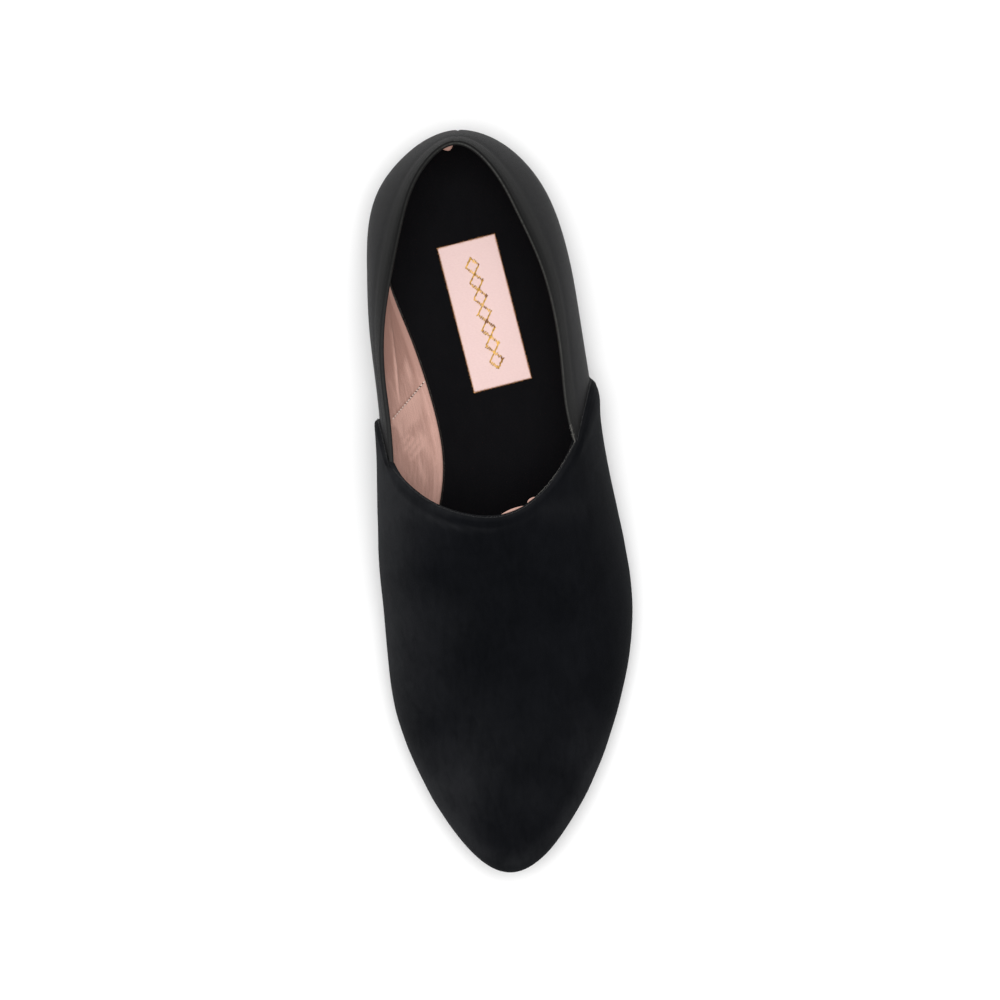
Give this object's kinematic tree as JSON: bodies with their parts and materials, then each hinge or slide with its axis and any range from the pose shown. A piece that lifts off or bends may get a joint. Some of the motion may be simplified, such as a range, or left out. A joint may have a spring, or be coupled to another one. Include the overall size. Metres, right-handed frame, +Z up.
{
  "type": "velvet babouche",
  "caption": "Closed-back flat slipper for the left foot: pointed velvet vamp lapping satin quarters, leather-lined hollow upper, low heel, velvet insole with a woven label.",
  "frame": {"origin": "on the floor, below the middle of the shoe's bounding box", "axes": "+Z up from the floor, +Y from the toe to the heel, +X to the outer side of the left foot"},
  "size_m": [0.0866, 0.258, 0.0653],
  "materials": {
    "sole_leather": "smooth dark leather",
    "satin": "charcoal satin outside, pink leather lining inside",
    "velvet": "black velvet",
    "insole_velvet": "black velvet",
    "woven_tape": "pale pink woven tape"
  },
  "bodies": {
    "root": {"outsole": "sole_leather", "upper": "satin", "vamp": "velvet", "insole": "insole_velvet", "label": "woven_tape"}
  },
  "joints": []
}
